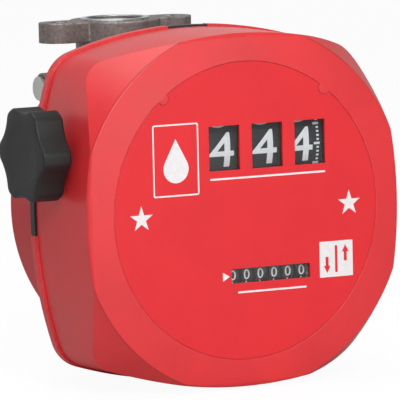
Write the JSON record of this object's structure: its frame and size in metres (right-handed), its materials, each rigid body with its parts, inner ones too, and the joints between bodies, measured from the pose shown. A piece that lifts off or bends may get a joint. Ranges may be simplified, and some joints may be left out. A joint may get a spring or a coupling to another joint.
{
  "type": "diesel flow meter",
  "caption": "In-line mechanical diesel flow meter: nutating disc chamber in a cast body, red cover with round dial, resettable counter, totaliser and reset knob.",
  "frame": {"origin": "centre of the lower port's machined face", "axes": "+Z along the flow from the lower to the upper port, -Y out of the dial towards the reader, +X to the reader's right"},
  "size_m": [0.2, 0.165, 0.1824],
  "materials": {
    "cast_aluminium": "bare sand-rough casting",
    "steel": "drawn steel",
    "plated_steel": "bright plated",
    "seal_rubber": "matt rubber",
    "chamber_plastic": "machined acetal",
    "white_plastic": "moulded acetal",
    "black_plastic": "moulded black plastic",
    "red_plastic": "satin red moulding",
    "brass": "turned brass",
    "clear_pane": "clear pane"
  },
  "bodies": {
    "case": {"meter_body": "cast_aluminium", "body_cover": "cast_aluminium", "body_seal": "seal_rubber", "body_screws": "steel", "chamber_front": "chamber_plastic", "chamber_rear": "chamber_plastic", "partition_plate": "steel", "shaft_bush": "brass", "shaft_seal": "seal_rubber", "worm_bracket": "steel", "idler_plate": "steel", "idler_studs": "steel", "transfer_shaft": "steel", "total_shaft": "steel", "total_transfer_shaft": "steel", "frame_plate_left": "steel", "frame_plate_right": "steel", "frame_screws": "steel", "register_base": "black_plastic", "register_screws": "steel", "rear_shell": "red_plastic", "front_cover": "red_plastic", "case_screws": "steel", "dial_plate": "red_plastic", "window_lens": "clear_pane", "calibration_plug": "plated_steel", "plug_seal": "seal_rubber", "inlet_strainer": "steel"},
    "drive": {"drive_crank": "steel", "drive_pinion": "brass"},
    "disc": {"nutating_disc": "black_plastic"},
    "reduction": {"reduction_gear": "white_plastic", "worm": "steel"},
    "lay": {"layshaft": "steel", "worm_wheel": "brass", "layshaft_gear": "white_plastic", "layshaft_pinion": "white_plastic"},
    "idler_1": {"idler_gear_1": "white_plastic"},
    "idler_2": {"idler_gear_2": "white_plastic"},
    "units_drive": {"units_gear": "white_plastic"},
    "units": {"units_wheel": "black_plastic"},
    "tens": {"tens_wheel": "black_plastic"},
    "hundreds": {"hundreds_wheel": "black_plastic"},
    "carry_to_tens": {"tens_pinion": "brass"},
    "carry_to_hundreds": {"hundreds_pinion": "brass"},
    "reset": {"reset_knob": "black_plastic", "reset_shaft": "steel"},
    "total_1": {"total_gear": "white_plastic", "total_wheel_1": "black_plastic"},
    "bypass": {"calibration_screw": "brass"},
    "total_2": {"total_wheel_2": "black_plastic"},
    "total_3": {"total_wheel_3": "black_plastic"},
    "total_4": {"total_wheel_4": "black_plastic"},
    "total_5": {"total_wheel_5": "black_plastic"},
    "total_6": {"total_wheel_6": "black_plastic"},
    "total_carry_1": {"total_pinion_1": "brass"},
    "total_carry_2": {"total_pinion_2": "brass"},
    "total_carry_3": {"total_pinion_3": "brass"},
    "total_carry_4": {"total_pinion_4": "brass"},
    "total_carry_5": {"total_pinion_5": "brass"}
  },
  "joints": [
    {"name": "drive_spin", "type": "hinge", "parent": "case", "child": "drive", "pos_m": [0, -0.057, 0.089], "axis": [0, -1, 0], "continuous": true},
    {"name": "disc_nutation", "type": "hinge", "parent": "drive", "child": "disc", "pos_m": [0, -0.029, 0.089], "axis": [0, -0.9763, -0.2164], "continuous": true},
    {"name": "reduction_spin", "type": "hinge", "parent": "case", "child": "reduction", "pos_m": [0.01631, -0.066, 0.06939], "axis": [0, -1, 0], "continuous": true},
    {"name": "lay_spin", "type": "hinge", "parent": "case", "child": "lay", "pos_m": [0.01631, -0.0789, 0.08339], "axis": [1, 0, 0], "continuous": true},
    {"name": "idler_1_spin", "type": "hinge", "parent": "case", "child": "idler_1", "pos_m": [0.039, -0.0925, 0.07222], "axis": [1, 0, 0], "continuous": true},
    {"name": "idler_2_spin", "type": "hinge", "parent": "case", "child": "idler_2", "pos_m": [0.039, -0.11126, 0.06815], "axis": [1, 0, 0], "continuous": true},
    {"name": "units_drive_spin", "type": "hinge", "parent": "case", "child": "units_drive", "pos_m": [0.052, -0.1009, 0.1215], "axis": [1, 0, 0], "continuous": true},
    {"name": "units_spin", "type": "hinge", "parent": "case", "child": "units", "pos_m": [0.03776, -0.1009, 0.1215], "axis": [1, 0, 0], "continuous": true},
    {"name": "tens_turn", "type": "hinge", "parent": "case", "child": "tens", "pos_m": [0.01283, -0.1009, 0.1215], "axis": [1, 0, 0], "range_deg": [-144, 144]},
    {"name": "carry_to_tens_turn", "type": "hinge", "parent": "case", "child": "carry_to_tens", "pos_m": [0.0253, -0.09165, 0.15603], "axis": [1, 0, 0], "range_deg": [-480, 480]},
    {"name": "hundreds_spin", "type": "hinge", "parent": "case", "child": "hundreds", "pos_m": [-0.0121, -0.1009, 0.1215], "axis": [1, 0, 0], "continuous": true},
    {"name": "carry_to_hundreds_spin", "type": "hinge", "parent": "case", "child": "carry_to_hundreds", "pos_m": [0.0004, -0.09165, 0.15603], "axis": [1, 0, 0], "continuous": true},
    {"name": "reset_turn", "type": "hinge", "parent": "case", "child": "reset", "pos_m": [-0.095, -0.1009, 0.1215], "axis": [1, 0, 0], "continuous": true},
    {"name": "total_1_spin", "type": "hinge", "parent": "case", "child": "total_1", "pos_m": [0.03345, -0.1239, 0.0559], "axis": [1, 0, 0], "continuous": true},
    {"name": "total_2_turn", "type": "hinge", "parent": "case", "child": "total_2", "pos_m": [0.02545, -0.1239, 0.0559], "axis": [1, 0, 0], "range_deg": [-288, 0]},
    {"name": "total_3_turn", "type": "hinge", "parent": "case", "child": "total_3", "pos_m": [0.01745, -0.1239, 0.0559], "axis": [1, 0, 0], "range_deg": [-288, 0]},
    {"name": "total_4_turn", "type": "hinge", "parent": "case", "child": "total_4", "pos_m": [0.00945, -0.1239, 0.0559], "axis": [1, 0, 0], "range_deg": [-288, 0]},
    {"name": "total_5_turn", "type": "hinge", "parent": "case", "child": "total_5", "pos_m": [0.00145, -0.1239, 0.0559], "axis": [1, 0, 0], "range_deg": [-288, 0]},
    {"name": "total_6_spin", "type": "hinge", "parent": "case", "child": "total_6", "pos_m": [-0.00655, -0.1239, 0.0559], "axis": [1, 0, 0], "continuous": true},
    {"name": "total_carry_1_turn", "type": "hinge", "parent": "case", "child": "total_carry_1", "pos_m": [0.02945, -0.11489, 0.0507], "axis": [1, 0, 0], "range_deg": [0, 960]},
    {"name": "total_carry_2_turn", "type": "hinge", "parent": "case", "child": "total_carry_2", "pos_m": [0.02145, -0.11489, 0.0507], "axis": [1, 0, 0], "range_deg": [0, 960]},
    {"name": "total_carry_3_turn", "type": "hinge", "parent": "case", "child": "total_carry_3", "pos_m": [0.01345, -0.11489, 0.0507], "axis": [1, 0, 0], "range_deg": [0, 960]},
    {"name": "total_carry_4_turn", "type": "hinge", "parent": "case", "child": "total_carry_4", "pos_m": [0.00545, -0.11489, 0.0507], "axis": [1, 0, 0], "range_deg": [0, 960]},
    {"name": "total_carry_5_spin", "type": "hinge", "parent": "case", "child": "total_carry_5", "pos_m": [-0.00255, -0.11489, 0.0507], "axis": [1, 0, 0], "continuous": true},
    {"name": "bypass_turn", "type": "hinge", "parent": "case", "child": "bypass", "pos_m": [-0.028, 0, 0.145], "axis": [1, 0, 0], "range_deg": [-540, 540]}
  ],
  "couplings": [
    {"joint": "disc_nutation", "follows": "drive_spin", "ratio": -1},
    {"joint": "reduction_spin", "follows": "drive_spin", "ratio": -0.13333},
    {"joint": "lay_spin", "follows": "drive_spin", "ratio": 0.0066667},
    {"joint": "units_drive_spin", "follows": "drive_spin", "ratio": -0.0066667},
    {"joint": "units_spin", "follows": "drive_spin", "ratio": -0.0066667},
    {"joint": "idler_1_spin", "follows": "drive_spin", "ratio": -0.0055556},
    {"joint": "idler_2_spin", "follows": "drive_spin", "ratio": 0.0055556},
    {"joint": "total_1_spin", "follows": "drive_spin", "ratio": -0.0066667},
    {"joint": "carry_to_tens_turn", "follows": "tens_turn", "ratio": -3.3333},
    {"joint": "carry_to_hundreds_spin", "follows": "hundreds_spin", "ratio": -3.3333},
    {"joint": "total_carry_1_turn", "follows": "total_2_turn", "ratio": -3.3333},
    {"joint": "total_carry_2_turn", "follows": "total_3_turn", "ratio": -3.3333},
    {"joint": "total_carry_3_turn", "follows": "total_4_turn", "ratio": -3.3333},
    {"joint": "total_carry_4_turn", "follows": "total_5_turn", "ratio": -3.3333},
    {"joint": "total_carry_5_spin", "follows": "total_6_spin", "ratio": -3.3333}
  ]
}
